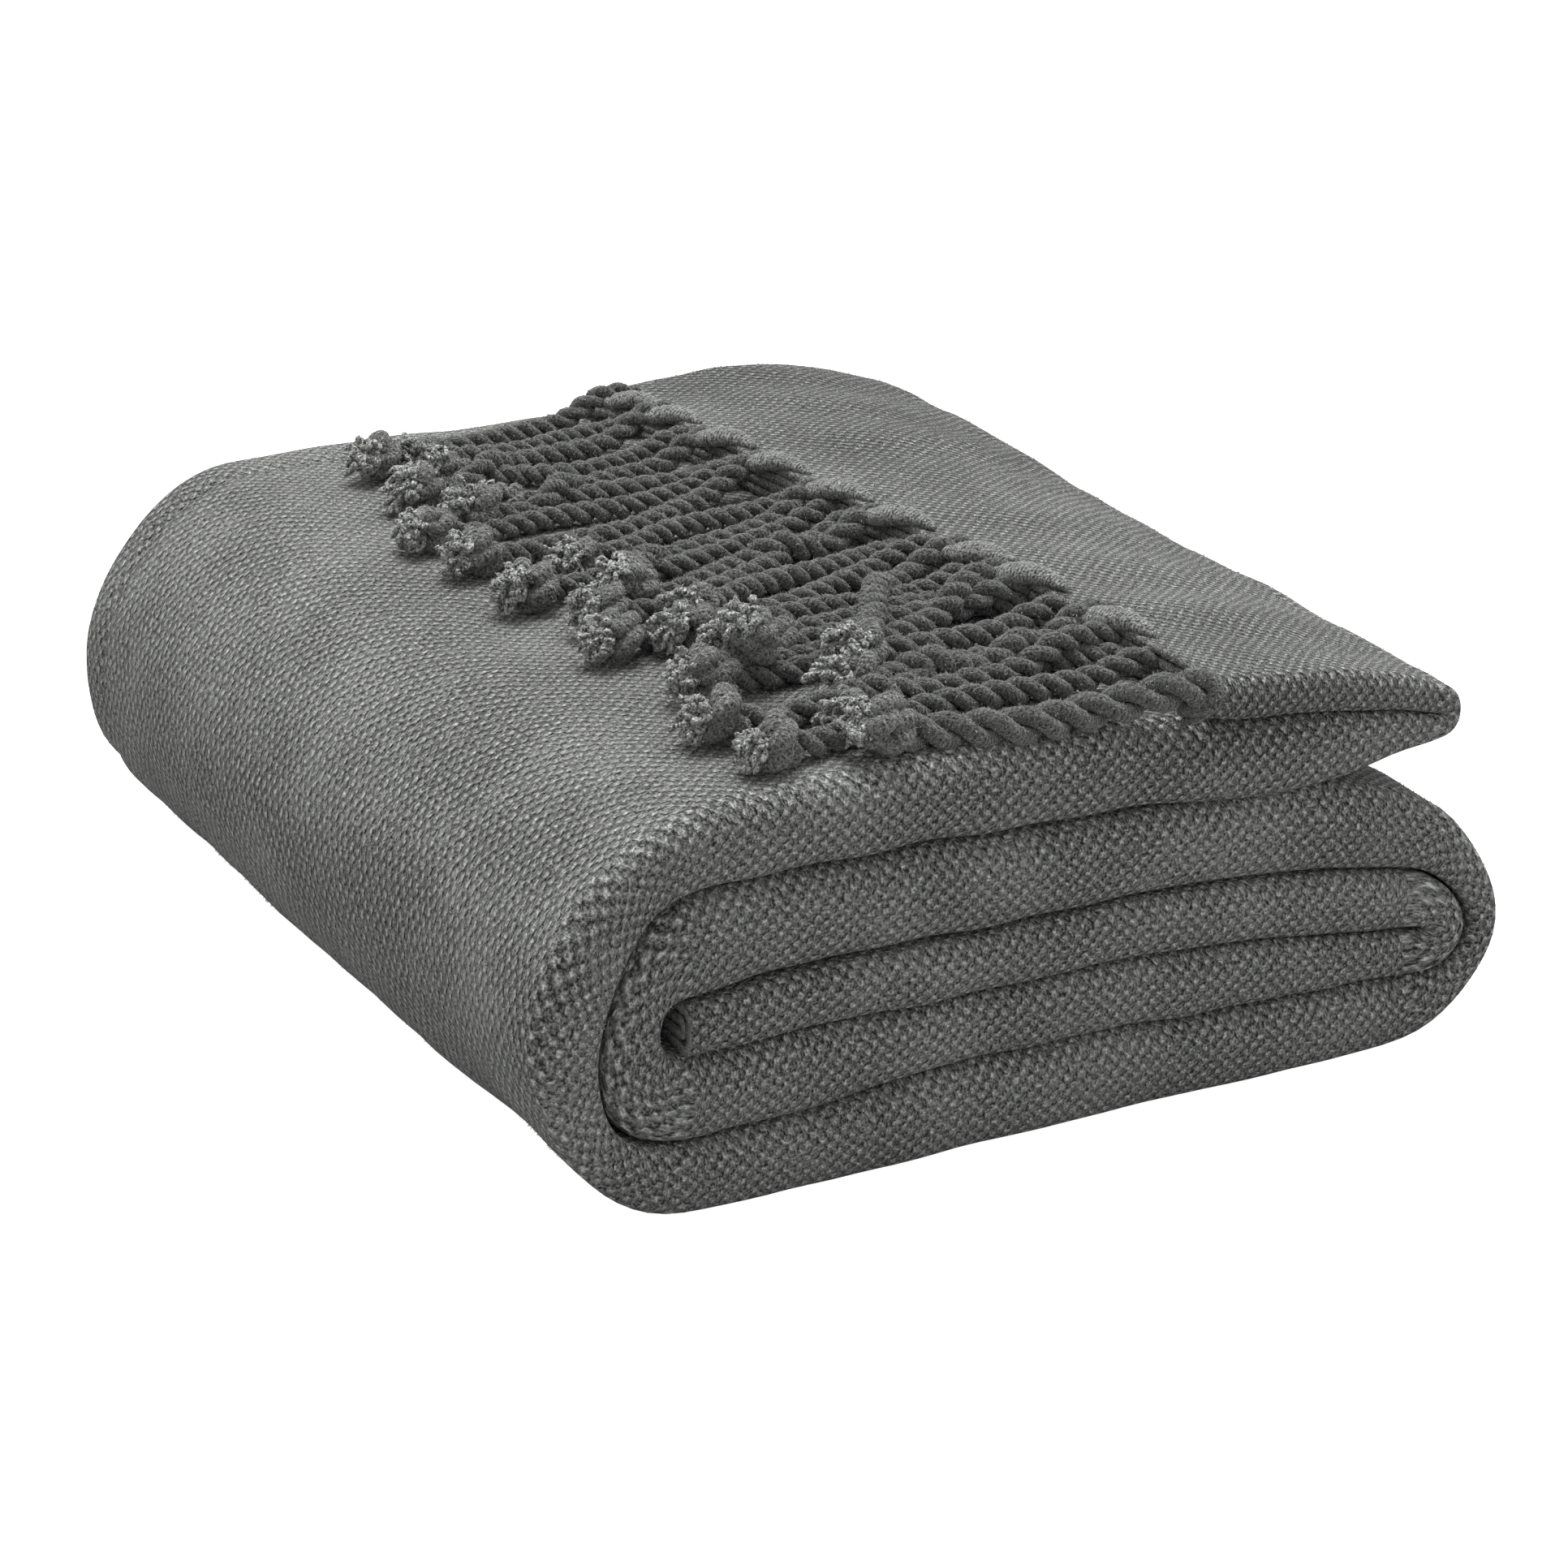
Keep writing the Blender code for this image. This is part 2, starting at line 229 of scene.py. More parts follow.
# %% [markdown]
# ## Across the strip
# The four plies are one cloth, folded in half twice. Walked from one selvedge to the other,
# the path goes forward, round the outer front fold, back, round a fold that stops short of the
# back edge, forward again, round the inner front fold, and back. The outer selvedge stops short
# too, and the inner one, freed beyond it, springs outwards. Each place has a share across the
# strip's thickness and a depth y.

# %% Ply path
FRONT_ROUND = 0.31
FOLD_FULLNESS = 0.80
FREED = 0.15
A1, A2 = PLY, PLY + PLY_GAP
BACK_FOLD_BULGE = 0.34


def power(value, exponent):
    return math.copysign(abs(value) ** exponent, value)


def front_arc(inset, turn):
    reach = 1.0 - 2.0 * inset
    across = 0.5 + 0.5 * reach * power(math.cos(turn), FOLD_FULLNESS)
    return across, inset + FRONT_ROUND * reach * (1.0 - power(math.sin(turn), FOLD_FULLNESS))


def ply_path():
    """Places on the middle of the ply: share across, depth as a share of thickness, depth y."""
    def run(across, y_from, y_to, count):
        return [(across, 0.0, y_from + (y_to - y_from) * i / count) for i in range(count)]

    path = run(1.0 - A1 / 2, OUTER_SELVEDGE_Y, FRONT_Y + 0.006, 34)
    for i in range(25):
        across, depth = front_arc(A1 / 2, math.pi * i / 24)
        path.append((across, depth, FRONT_Y))
    path += run(A1 / 2, BACK_FOLD_Y, FRONT_Y + 0.006, 36)[:0:-1]
    for i in range(11):
        turn = math.pi * i / 10
        across = A1 / 2 + (A2 / 2) * (1.0 - math.cos(turn))
        path.append((across, BACK_FOLD_BULGE * math.sin(turn), BACK_FOLD_Y))
    path += run(A1 / 2 + A2, BACK_FOLD_Y, FRONT_Y + 0.012, 10)[1:]
    for i in range(15):
        across, depth = front_arc(A1 / 2 + A2, math.pi - math.pi * i / 14)
        path.append((across, depth, FRONT_Y))
    path += run(1.0 - A1 / 2 - A2, OUTER_SELVEDGE_Y - 0.004, FRONT_Y + 0.012, 9)[::-1]
    for i in range(8):
        y = OUTER_SELVEDGE_Y + (INNER_SELVEDGE_Y - OUTER_SELVEDGE_Y) * i / 7
        rise = min(max((y - OUTER_SELVEDGE_Y) / 0.012, 0.0), 1.0)
        path.append((1.0 - A1 / 2 - A2 + FREED * rise * rise * (3.0 - 2.0 * rise), 0.0, y))
    return path


PATH = ply_path()
print("places across the cloth", len(PATH))

# %% [markdown]
# ## Unevenness
# Soft cloth never lies quite straight. Slow waves tilt the layers, the back corners sink and
# draw in, and a little noise gives the pile its lumps. All of it fades out at floor level.

# %% Settle and lump
RIPPLE = 0.0008
HEM_SINK = 0.0064


def settle(p):
    """Slow unevenness of the stack, on an array of points."""
    x, y, z = p[..., 0], p[..., 1], p[..., 2]
    lift = np.minimum(z / 0.09, 1.0)
    dip = 0.0012 * np.sin(y * 21.0 + 0.6) + 0.0010 * np.sin(x * 26.0 - y * 17.0)
    back = np.maximum((y - 0.20) / 0.11, 0.0)
    new_z = z + lift * (dip - 0.0045 * back * back)
    left = np.maximum(1.0 - (x + 0.045) / 0.10, 0.0)
    right = np.maximum(1.0 - (0.255 - x) / 0.08, 0.0)
    new_x = x + left * lift * (0.0015 * np.sin(y * 30.0) + 0.0075 * back * back)
    new_x = new_x + right * lift * (0.0018 * np.sin(y * 24.0 + 1.0) - 0.0040 * back * back)
    flap = np.clip((x - 0.15) / 0.03, 0.0, 1.0) * np.clip((z - 0.100) / 0.008, 0.0, 1.0)
    ripple = np.sin((0.45 * x + y) * 150.0 + 1.4 * np.sin(x * 45.0))
    ripple = ripple * (0.6 + 0.4 * np.sin(y * 33.0))
    at_hem = np.clip((0.185 - x) / 0.055, 0.0, 1.0) * np.clip((z - 0.108) / 0.012, 0.0, 1.0)
    new_z = new_z + RIPPLE * flap * ripple - HEM_SINK * back * back * at_hem
    return np.stack([new_x, y, new_z], axis=-1)


def lump(point, size):
    return noise.noise(Vector((point[0], point[1], point[2])) / size)


# %% Fold the cloth
THICKEST = 0.0060
FRONT_NOSE = 45    # the place on the nose of the outer front fold
SOFTENING = 6


def fold_places():
    """Where each place of the flat cloth ends up, and how thick the ply is there."""
    lines = {}
    for _, _, y in PATH:
        if y not in lines:
            line = stack_line(y)
            for face in (0, 1):
                line[:, face] = soften(line[:, face], SOFTENING)
            lines[y] = line
    rows = len(ALONG)
    places = np.zeros((rows, len(PATH), 3))
    thick = np.zeros((rows, len(PATH)))
    for j, (across, depth, y) in enumerate(PATH):
        first, second = lines[y][:, 0], lines[y][:, 1]
        strip = np.linalg.norm(second - first, axis=1)
        places[:, j, 0::2] = first + (second - first) * across
        places[:, j, 1] = y + depth * strip
        thick[:, j] = strip * PLY
    return places, thick


flat_places, ply_thickness = fold_places()
flat_places = settle(flat_places)
across_steps = np.linalg.norm(np.diff(flat_places, axis=1), axis=2)
ACROSS = np.concatenate([np.zeros((len(ALONG), 1)), np.cumsum(across_steps, axis=1)], axis=1)
ACROSS = ACROSS - ACROSS[:, FRONT_NOSE:FRONT_NOSE + 1]

# %% [markdown]
# ## The cloth
# A flat grid is the uncut cloth. Its UV map holds the flat sizes in metres, so the weave later
# keeps its scale round every fold. Each vertex is then carried to its folded place, and a
# Solidify modifier gives the ply its loft, thinner where the folds pinch.

# %% Cloth mesh
def gridded(name, rows, columns, place, flat):
    """A bmesh grid carried to new places, with its flat sizes kept as a UV map."""
    mesh = bmesh.new()
    uv_layer = mesh.loops.layers.uv.new("flat_metres")
    made = bmesh.ops.create_grid(mesh, x_segments=rows - 1, y_segments=columns - 1, size=1.0)
    verts = made["verts"]
    cells = np.array([v.co[:2] for v in verts])
    i = np.rint((cells[:, 0] + 1.0) / 2.0 * (rows - 1)).astype(int)
    j = np.rint((cells[:, 1] + 1.0) / 2.0 * (columns - 1)).astype(int)
    moved, flat_uv = place[i, j], flat[i, j]
    for v, co in zip(verts, moved.tolist()):
        v.co = co
    mesh.verts.index_update()
    uv_list = flat_uv.tolist()
    for face in mesh.faces:
        for loop in face.loops:
            loop[uv_layer].uv = uv_list[loop.vert.index]
    data = bpy.data.meshes.new(name)
    return mesh, data, (i, j)


flat_uv = np.stack([np.repeat(ALONG[:, None], len(PATH), axis=1), ACROSS], axis=-1)
places = flat_places.copy()
depth_of_lump = np.minimum(places[..., 2] / 0.02, 1.0)
for size, height in ((0.040, 0.0011), (0.016, 0.0006)):
    bumps = np.array([[lump(p, size) for p in row] for row in places.tolist()])
    places[..., 2] += height * bumps * depth_of_lump
    side_share = np.clip((0.03 - places[..., 0]) / 0.05, 0.0, 1.0)
    places[..., 0] += height * bumps * side_share * depth_of_lump
    front_share = np.clip((0.012 - places[..., 1]) / 0.012, 0.0, 1.0)
    places[..., 1] += 0.8 * height * bumps * front_share
places[..., 0] += SHIFT_X
places[..., 1] += SHIFT_Y
places[..., 2] = np.maximum(places[..., 2], ply_thickness / 2)

mesh, data, (row_of, place_of) = gridded("chenille_spread", len(ALONG), len(PATH), places, flat_uv)
bmesh.ops.recalc_face_normals(mesh, faces=mesh.faces[:])
for face in mesh.faces:
    face.smooth = True
mesh.to_mesh(data)
mesh.free()
spread = bpy.data.objects.new("chenille_spread", data)
bpy.context.scene.collection.objects.link(spread)
loft = spread.vertex_groups.new(name="loft")
for index, (i, j) in enumerate(zip(row_of.tolist(), place_of.tolist())):
    loft.add([index], min(float(ply_thickness[i, j]) / THICKEST, 1.0), "REPLACE")
solid = spread.modifiers.new("ply_loft", "SOLIDIFY")
solid.thickness = THICKEST
solid.offset = 0.0
solid.vertex_group = "loft"
solid.use_even_offset = False
print("cloth faces", len(data.polygons))

# %% [markdown]
# ## Where the fringe lies
# Each tassel is a limp cord about 115 mm long, fixed at the hem. Tassels from the four plies
# start at different heights and fall across each other. Chains of points stand for them here:
# they sink, keep their length, resist bending, and push each other apart until they rest.

# %% Tassel plan
TASSEL_RADIUS = 0.0035
CHAIN = 28
WANDER = 0.0028
TASSELS = (
    # ply root_y mid_x  mid_y  tip_x  tip_y  knot
    (3, 0.008, 0.105, 0.001, 0.060, 0.005, 0.0088),
    (3, 0.050, 0.105, 0.037, 0.071, 0.041, 0.0080),
    (3, 0.088, 0.110, 0.073, 0.048, 0.060, 0.0084),
    (4, 0.108, 0.128, 0.116, 0.077, 0.045, 0.0084),
    (3, 0.145, 0.101, 0.141, 0.051, 0.126, 0.0080),
    (3, 0.174, 0.100, 0.166, 0.059, 0.145, 0.0074),
    (3, 0.204, 0.084, 0.188, 0.029, 0.180, 0.0084),
    (3, 0.232, 0.090, 0.225, 0.045, 0.208, 0.0086),
    (3, 0.262, 0.092, 0.256, 0.038, 0.236, 0.0082),
    (3, 0.286, 0.090, 0.285, 0.038, 0.266, 0.0088),
    (2, 0.024, 0.098, 0.020, 0.030, 0.010, 0.0082),
    (2, 0.040, 0.095, 0.029, 0.027, 0.033, 0.0082),
    (2, 0.066, 0.102, 0.056, 0.040, 0.062, 0.0084),
    (2, 0.080, 0.112, 0.083, 0.065, 0.074, 0.0078),
    (2, 0.100, 0.095, 0.096, 0.051, 0.098, 0.0080),
    (2, 0.125, 0.095, 0.108, 0.031, 0.099, 0.0084),
    (2, 0.156, 0.093, 0.132, 0.040, 0.122, 0.0080),
    (2, 0.166, 0.095, 0.156, 0.030, 0.149, 0.0084),
    (2, 0.214, 0.090, 0.206, 0.026, 0.204, 0.0080),
    (2, 0.246, 0.088, 0.240, 0.056, 0.248, 0.0064),
    (1, 0.034, 0.100, 0.042, 0.060, 0.026, 0.0062),
    (1, 0.078, 0.100, 0.088, 0.060, 0.085, 0.0062),
    (1, 0.133, 0.100, 0.128, 0.064, 0.113, 0.0062),
    (1, 0.185, 0.096, 0.179, 0.056, 0.168, 0.0062),
    (1, 0.220, 0.090, 0.216, 0.058, 0.219, 0.0062),
    (1, 0.274, 0.088, 0.266, 0.054, 0.274, 0.0062),
)
TOP_X = np.linspace(-0.03, 0.20, 24)
TOP_Z = np.array([seam_height("cover_top", max(x, 0.0)) for x in TOP_X])


def top_height(x, y):
    """Height of the cloth that the fringe lies on."""
    z = np.interp(x, TOP_X, TOP_Z)
    return settle(np.stack([x, y, z], axis=-1))[..., 2]


def tassel_starts():
    """First guess for each chain: from its ply of the hem through a middle place to its tip."""
    chains = []
    for ply, root_y, mid_x, mid_y, tip_x, tip_y, _ in TASSELS:
        t = np.linspace(0.0, 1.0, CHAIN)
        ends = np.array([(hem_x(root_y) - 0.003, root_y), (mid_x, mid_y), (tip_x, tip_y)])
        legs = np.linalg.norm(np.diff(ends, axis=0), axis=1)
        reach = np.array([0.0, legs[0], legs.sum()]) / legs.sum()
        flat = soften(np.stack([np.interp(t, reach, ends[:, k]) for k in (0, 1)], axis=-1), 14)
        x = flat[:, 0]
        y = flat[:, 1] + WANDER * np.sin(math.pi * t) * np.sin(t * 7.0 + root_y * 160.0)
        base = top_height(x, y)
        rise = (0.0017 + 0.0031 * min(ply, 3)) * (1.0 - t) + (0.0045 + 0.0075 * (ply - 1)) * t
        arch = 0.008 * (ply - 1) * np.sin(math.pi * t)
        chains.append(np.stack([x, y, base + rise + arch], axis=-1))
    return np.array(chains)


SINK_STEP = 0.00035
HOME_PULL = 0.16
STRAIGHTEN = 0.12
PUSH_APART = 0.35
LONGEST_PUSH = 0.0015
HELD = 2    # points at the root that stay where they are


def rest_tassels(chains, rounds):
    """Sinks the chains onto the cloth and each other."""
    count = len(chains)
    radius = np.full((count, CHAIN), TASSEL_RADIUS)
    radius[:, -3:] = np.array([row[6] for row in TASSELS])[:, None] * np.array([0.75, 0.9, 0.75])
    lengths = np.linalg.norm(np.diff(chains, axis=1), axis=2).mean(axis=1)
    home = chains.copy()
    owner = np.repeat(np.arange(count), CHAIN)
    flat_radius = radius.reshape(-1)
    reach = flat_radius[:, None] + flat_radius[None, :]
    other = owner[:, None] != owner[None, :]
    for _ in range(rounds):
        chains[:, HELD:, 2] -= SINK_STEP
        chains[:, HELD:, :2] += HOME_PULL * (home[:, HELD:, :2] - chains[:, HELD:, :2])
        for _ in range(3):
            gap = chains[:, 1:] - chains[:, :-1]
            size = np.linalg.norm(gap, axis=2, keepdims=True)
            push = gap * (1.0 - lengths[:, None, None] / np.maximum(size, 1e-6)) * 0.5
            chains[:, :-1] += push
            chains[:, 1:] -= push
            chains[:, :HELD] = home[:, :HELD]
        middle = (chains[:, :-2] + chains[:, 2:]) / 2.0
        chains[:, 1:-1] += STRAIGHTEN * (middle - chains[:, 1:-1])
        points = chains.reshape(-1, 3)
        between = points[:, None, :] - points[None, :, :]
        distance = np.sqrt((between ** 2).sum(axis=2)) + 1e-9
        overlap = np.where(other, np.maximum(reach * 0.96 - distance, 0.0), 0.0)
        move = (between / distance[:, :, None] * overlap[:, :, None]).sum(axis=1) * PUSH_APART
        points = points + np.clip(move, -LONGEST_PUSH, LONGEST_PUSH)
        chains = points.reshape(count, CHAIN, 3)
        floor = top_height(chains[..., 0], chains[..., 1]) + radius * 0.95
        chains[..., 2] = np.maximum(chains[..., 2], floor)
        chains[:, :HELD] = home[:, :HELD]
    return chains


tassel_lines = rest_tassels(tassel_starts(), 260)
print("tassels", len(tassel_lines), "highest point", round(float(tassel_lines[..., 2].max()), 4))

# %% [markdown]
# ## Twisted yarn
# A tassel is two soft chenille yarns twisted round each other. Each yarn is a grid rolled into
# a tube that follows a spiral round the tassel's line, and its seam is merged. The yarn swells
# and shrinks a little along its length, as cut pile does.

# %% Yarn tools
TIP_RADIUS = 0.00001
MERGE_WITHIN = 0.00002


def resample(line, spacing):
    """Even places along a smoothed line."""
    line = soften(np.asarray(line), 3)
    reach = np.concatenate([[0.0], np.cumsum(np.linalg.norm(np.diff(line, axis=0), axis=1))])
    count = max(int(reach[-1] / spacing), 4)
    at = np.linspace(0.0, reach[-1], count)
    return np.stack([np.interp(at, reach, line[:, k]) for k in range(3)], axis=-1), at


def turning_frames(line):
    """Two directions across the line at each place, carried along without twisting."""
    ahead = np.gradient(line, axis=0)
    ahead /= np.linalg.norm(ahead, axis=1, keepdims=True)
    side = np.cross(ahead[0], (0.0, 0.0, 1.0))
    if np.linalg.norm(side) < 1e-3:
        side = np.cross(ahead[0], (1.0, 0.0, 0.0))
    sides = []
    for direction in ahead:
        side = side - direction * np.dot(side, direction)
        side /= np.linalg.norm(side)
        sides.append(side.copy())
    sides = np.array(sides)
    return ahead, sides, np.cross(ahead, sides)


def roll_tube(mesh, uv_layer, line, radii, around, uv_start=0.0, squash=1.0):
    """Rolls a flat grid into a closed tube along a line."""
    rows = len(line)
    made = bmesh.ops.create_grid(mesh, x_segments=rows - 1, y_segments=around, size=1.0)
    verts = made["verts"]
    cells = np.array([v.co[:2] for v in verts])
    i = np.rint((cells[:, 0] + 1.0) / 2.0 * (rows - 1)).astype(int)
    share = (cells[:, 1] + 1.0) / 2.0
    turn = share * math.tau
    _, sides, ups = turning_frames(line)
    ring = np.cos(turn)[:, None] * sides[i] + squash * np.sin(turn)[:, None] * ups[i]
    moved = line[i] + ring * np.asarray(radii)[i][:, None]
    run = np.concatenate([[0.0], np.cumsum(np.linalg.norm(np.diff(line, axis=0), axis=1))])
    width = float(np.max(radii)) * math.tau
    uv = {}
    for v, co, a, b in zip(verts, moved.tolist(), run[i].tolist(), share.tolist()):
        v.co = co
        uv[v] = (a + uv_start, b * width)
    faces = {f for v in verts for f in v.link_faces}
    for face in faces:
        face.smooth = True
        for loop in face.loops:
            loop[uv_layer].uv = uv[loop.vert]
    return verts


def new_piece(name, fill):
    """Makes a joined mesh piece: fill(mesh, uv_layer) adds the tubes."""
    mesh = bmesh.new()
    uv_layer = mesh.loops.layers.uv.new("flat_metres")
    fill(mesh, uv_layer)
    bmesh.ops.remove_doubles(mesh, verts=mesh.verts[:], dist=MERGE_WITHIN)
    bmesh.ops.recalc_face_normals(mesh, faces=mesh.faces[:])
    data = bpy.data.meshes.new(name)
    mesh.to_mesh(data)
    mesh.free()
    piece = bpy.data.objects.new(name, data)
    bpy.context.scene.collection.objects.link(piece)
    print(name, "faces", len(data.polygons))
    return piece


# %% Tassels
YARN_RADIUS = 0.00196
YARN_OFFSET = 0.00192
TWIST_LENGTH = 0.0124
FRONT_EXTRA = 1.25
UNDER_SHARE = 0.92
TOP_PLY = 3
LOOP_JOINS_AT = 9
LEAD_IN = np.array([(0.010, -0.002, -0.0006), (0.005, -0.001, 0.0004)])
SHIFT = np.array([SHIFT_X, SHIFT_Y, 0.0])
rng = np.random.default_rng(7)

# The front tassel hangs over the corner of the hem before it turns back along the stack.
FRONT_LOOP = (
    # x       y        z
    (0.1465, -0.0020, 0.1100),
    (0.1490, -0.0100, 0.1122),
    (0.1540, -0.0100, 0.1165),
    (0.1550, -0.0070, 0.1208),
    (0.1500, -0.0058, 0.1216),
    (0.1420, -0.0066, 0.1198),
    (0.1320, -0.0060, 0.1190),
)


def fullness(root_y):
    """Tassels at the front are a little fuller than those at the back."""
    return 1.12 - 0.72 * root_y


def tassel_route(index):
    """The line of a tassel, from inside its ply of the hem to its knot."""
    line = tassel_lines[index]
    first = line[0]
    if index == 0:
        route = np.concatenate([np.array(FRONT_LOOP), line[LOOP_JOINS_AT:-1]])
    else:
        route = np.concatenate([first + LEAD_IN, line[1:-1]])
    return route + SHIFT


def twist_yarns(mesh, uv_layer, index):
    line, at = resample(tassel_route(index), 0.0011)
    _, sides, ups = turning_frames(line)
    phase = rng.uniform(0.0, math.tau)
    ply, root_y = TASSELS[index][:2]
    share = FRONT_EXTRA if index == 0 else 1.0 if ply >= TOP_PLY else UNDER_SHARE
    scale = fullness(root_y) * share
    pitch = TWIST_LENGTH * scale * rng.uniform(0.90, 1.20)
    profile = np.interp(at, (0.0, 0.006, 0.014, 1.0), (0.45, 0.85, 1.0, 1.0)) * scale
    spin = phase + math.tau * at / pitch
    for strand in (0, 1):
        angle = spin + math.pi * strand
        swell = 1.0 + 0.10 * np.sin(angle + phase) + rng.normal(0.0, 0.045, len(at))
        offset = YARN_OFFSET * profile
        outward = np.cos(angle)[:, None] * sides + np.sin(angle)[:, None] * ups
        centre = line + offset[:, None] * outward
        radii = YARN_RADIUS * profile * swell
        radii[0] = radii[-1] = TIP_RADIUS
        roll_tube(mesh, uv_layer, centre, radii, 10, uv_start=float(rng.uniform(0.0, 0.5)))


UPPER = [k for k, row in enumerate(TASSELS) if row[0] >= TOP_PLY]
LOWER = [k for k, row in enumerate(TASSELS) if row[0] < TOP_PLY]
upper_tassels = new_piece("upper_tassels", lambda m, u: [twist_yarns(m, u, k) for k in UPPER])
lower_tassels = new_piece("lower_tassels", lambda m, u: [twist_yarns(m, u, k) for k in LOWER])

# %% [markdown]
# ## Gathered roots
# Each tassel starts as a tuft of warp ends gathered out of the hem. The tuft lies along the hem
# like a narrow leaf, pointed where its first ends leave the weave and full where the twist
# begins. A flattened tube with a changing radius is enough for it.

# %% Gathered roots
LEAF_LENGTH = 0.0220
LEAF_RADIUS = 0.0041
LEAF_FLATNESS = 0.72


def lay_leaf(mesh, uv_layer, index):
    line, root_y = tassel_lines[index], TASSELS[index][1]
    scale = fullness(root_y)
    share = np.linspace(0.0, 1.0, 26)
    places = []
    for s in share:
        y = root_y - 0.001 - LEAF_LENGTH * scale * (1.0 - s)
        y = max(y, -0.004 + 0.001 * s)
        x = hem_x(y) + 0.0030 - 0.0075 * s * s
        z = float(settle(np.array([hem_x(y) + 0.002, y, seam_height("flap_top", hem_x(y))]))[2])
        z = z + 0.0003 + 0.0012 * math.sin(math.pi * s) - 0.0020 * s ** 3
        places.append((x + SHIFT_X, y + SHIFT_Y, z))
    places[-1] = tuple(np.array(places[-1]) * 0.5 + 0.5 * (line[1] + SHIFT))
    swell = np.interp(share, (0.0, 0.25, 0.6, 0.85, 1.0), (0.22, 0.62, 1.0, 0.95, 0.6))
    radii = LEAF_RADIUS * scale * swell * (1.0 + rng.normal(0.0, 0.05, len(share)))
    radii[0] = radii[-1] = TIP_RADIUS
    roll_tube(mesh, uv_layer, soften(np.array(places), 4), radii, 14,
              uv_start=float(rng.uniform(0.0, 0.5)), squash=LEAF_FLATNESS)


leaves = new_piece("gathered_roots", lambda m, u: [lay_leaf(m, u, k) for k in UPPER[1:]])

# %% [markdown]
# ## Knots and cut ends
# Each tassel is tied in one overhand knot near its end: the cord passes once and a half round
# itself and its wraps press against each other. Beyond it the yarns are cut, and short crumbs
# of pile spring open in a loose brush.

# %% Knots
KNOT_FULLNESS = 0.86
KNOT_TURNS = 1.45


def knot_size(index):
    return KNOT_FULLNESS * TASSELS[index][6] * fullness(TASSELS[index][1])


def end_frame(index):
    """The place of a knot, and the directions along and across its tassel."""
    line = tassel_lines[index] + SHIFT
    ahead = line[-2] - line[-5]
    ahead /= np.linalg.norm(ahead)
    side = np.cross(ahead, (0.0, 0.0, 1.0))
    side /= np.linalg.norm(side)
    return line[-2], ahead, side, np.cross(side, ahead)


def tie_knot(mesh, uv_layer, index):
    tip, ahead, side, up = end_frame(index)
    size = knot_size(index)
    start = rng.uniform(0.0, math.tau)
    lean = rng.uniform(-0.35, 0.35)
    turn = np.linspace(0.0, 1.0, 44)
    for strand in (0, 1):
        angle = start + turn * math.tau * KNOT_TURNS
        swell = size * (0.30 + 0.30 * np.sin(turn * math.pi))
        slide = (turn - 0.5) * size * 1.15 + lean * swell * np.cos(angle)
        coil = (tip + slide[:, None] * ahead + swell[:, None] *
                (np.cos(angle)[:, None] * side + np.sin(angle)[:, None] * up))
        _, across, outward = turning_frames(coil)
        spin = turn * math.tau * 3.0 + math.pi * strand
        twist = np.cos(spin)[:, None] * across + np.sin(spin)[:, None] * outward
        coil = coil + 0.20 * size * twist
        radii = np.full(len(coil), size * 0.34) * (1.0 + rng.normal(0.0, 0.05, len(coil)))
        radii[0] = radii[-1] = TIP_RADIUS
        radii[1] *= 0.6
        radii[-2] *= 0.6
        roll_tube(mesh, uv_layer, coil, radii, 10, uv_start=float(rng.uniform(0.0, 0.5)))


# %% Brushes
CRUMBS = 84
CRUMB_RADIUS = 0.00078
CRUMB_SHAPE = np.array([0.6, 0.9, 0.8, 1.45, 0.01])
CRUMB_DROOP = np.array([0.0, 0.0, -0.0020])


def brush(mesh, uv_layer, index):
    tip, ahead, side, up = end_frame(index)
    size = knot_size(index)
    start = tip + ahead * size * 0.55
    flat = tassel_lines[index][-1]
    floor = float(top_height(flat[0], flat[1]))
    for crumb in range(CRUMBS):
        angle = crumb * 2.399 + rng.uniform(-0.5, 0.5)
        spread_out = 1.5 * math.sqrt((crumb + 0.5) / CRUMBS)
        out = ahead + spread_out * (math.cos(angle) * side + math.sin(angle) * up)
        out /= np.linalg.norm(out)
        reach = rng.uniform(0.0030, 0.0094)
        t = np.array([0.0, 0.3, 0.6, 0.85, 1.0])[:, None]
        bow = rng.normal(0.0, 0.0016, 3)
        yarn = start + out * reach * t + bow * np.sin(t * 3.1) + CRUMB_DROOP * t * t
        yarn[:, 2] = np.maximum(yarn[:, 2], floor + 0.0010)
        radii = CRUMB_RADIUS * CRUMB_SHAPE * rng.uniform(0.7, 1.25)
        roll_tube(mesh, uv_layer, yarn, radii, 5, uv_start=float(rng.uniform(0.0, 0.5)))


everyone = range(len(TASSELS))
knots = new_piece("tassel_knots", lambda m, u: [tie_knot(m, u, k) for k in everyone])
brushes = new_piece("cut_brushes", lambda m, u: [brush(m, u, k) for k in everyone])

# %% [markdown]
# ## Loose pile
# Cut pile stands off every chenille yarn as a soft halo. Thousands of tiny pointed fibres are
# copies of one three-sided cone. Each is set on a face of the piece below it, chosen by area, and
# leans away from that face at its own angle. Faces that look at other cloth get none.

# %% Loose pile
FACES_DOWN = -0.6
SKIN = 0.0002    # how far a ray starts above a face, and how deep a fibre is rooted


